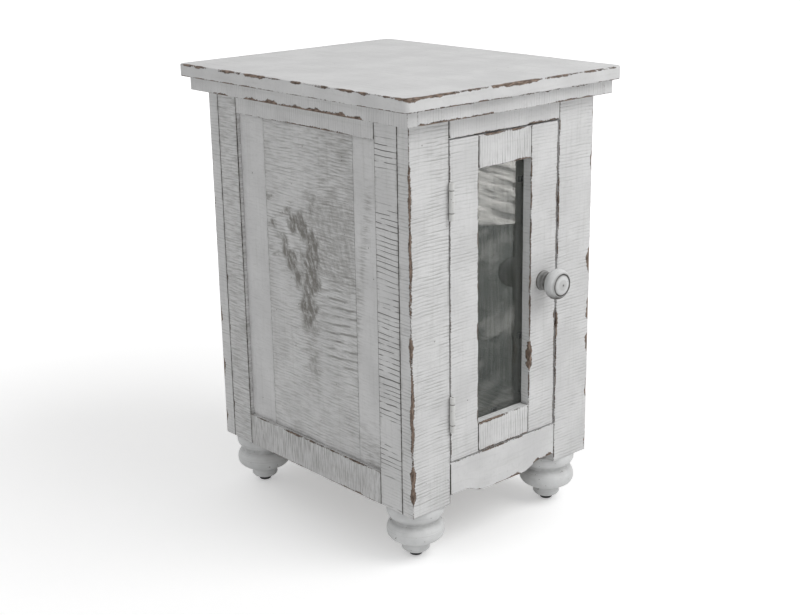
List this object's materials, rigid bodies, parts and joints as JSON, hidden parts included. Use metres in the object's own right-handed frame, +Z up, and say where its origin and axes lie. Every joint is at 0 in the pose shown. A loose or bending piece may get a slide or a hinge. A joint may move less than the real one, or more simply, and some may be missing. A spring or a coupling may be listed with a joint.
{
  "type": "storage side table with door",
  "caption": "Narrow painted wood side table with a closed storage case, a glazed front door on butt hinges, a turned knob and turned bun feet.",
  "frame": {"origin": "on the floor, under the middle of the case", "axes": "+Z up, the door faces -Y, +X to the right as seen from the front"},
  "size_m": [0.406, 0.5015, 0.652],
  "materials": {
    "white_paint": "chalky off-white paint, rubbed through to brown wood on the edges",
    "inside_wood": "dark grey-brown stained wood",
    "glass": "clear float glass",
    "painted_hinge": "painted over with the case",
    "bare_steel": "zinc-plated steel",
    "black_plastic": "moulded black plastic",
    "magnet": "dark ferrite"
  },
  "bodies": {
    "cabinet": {"back_bottom_rail": "white_paint", "back_panel": "inside_wood", "back_stile_left": "white_paint", "back_stile_right": "white_paint", "back_top_rail": "white_paint", "catch_housing": "black_plastic", "catch_magnet": "magnet", "catch_screws": "bare_steel", "cornice_back": "white_paint", "cornice_front": "white_paint", "cornice_left": "white_paint", "cornice_right": "white_paint", "floor_cleats": "inside_wood", "floor_panel": "inside_wood", "foot_blocks": "inside_wood", "foot_front_left": "white_paint", "foot_front_right": "white_paint", "foot_rear_left": "white_paint", "foot_rear_right": "white_paint", "frame_hinge_screws": "bare_steel", "front_apron": "white_paint", "front_stile_left": "white_paint", "front_stile_right": "white_paint", "front_top_rail": "white_paint", "glides": "black_plastic", "hinge_lower_frame_leaf": "painted_hinge", "hinge_lower_pin": "bare_steel", "hinge_upper_frame_leaf": "painted_hinge", "hinge_upper_pin": "bare_steel", "side_left_bottom_rail": "white_paint", "side_left_front_stile": "white_paint", "side_left_plank_centre": "white_paint", "side_left_plank_front": "white_paint", "side_left_plank_rear": "white_paint", "side_left_rear_stile": "white_paint", "side_left_top_rail": "white_paint", "side_right_bottom_rail": "white_paint", "side_right_front_stile": "white_paint", "side_right_plank_centre": "white_paint", "side_right_plank_front": "white_paint", "side_right_plank_rear": "white_paint", "side_right_rear_stile": "white_paint", "side_right_top_rail": "white_paint", "top_cleats": "inside_wood", "top_slab": "white_paint"},
    "door": {"door_hinge_stile": "white_paint", "door_latch_stile": "white_paint", "door_top_rail": "white_paint", "door_bottom_rail": "white_paint", "door_glass": "glass", "glass_clips": "black_plastic", "clip_screws": "bare_steel", "door_knob": "white_paint", "knob_screw": "bare_steel", "hinge_upper_door_leaf": "painted_hinge", "hinge_lower_door_leaf": "painted_hinge", "door_hinge_screws": "bare_steel", "strike_plate": "bare_steel", "strike_screw": "bare_steel"}
  },
  "joints": [
    {"name": "door_hinge", "type": "hinge", "parent": "cabinet", "child": "door", "pos_m": [-0.10425, -0.22, 0.3635], "axis": [0, 0, -1], "range_deg": [0, 175]}
  ]
}
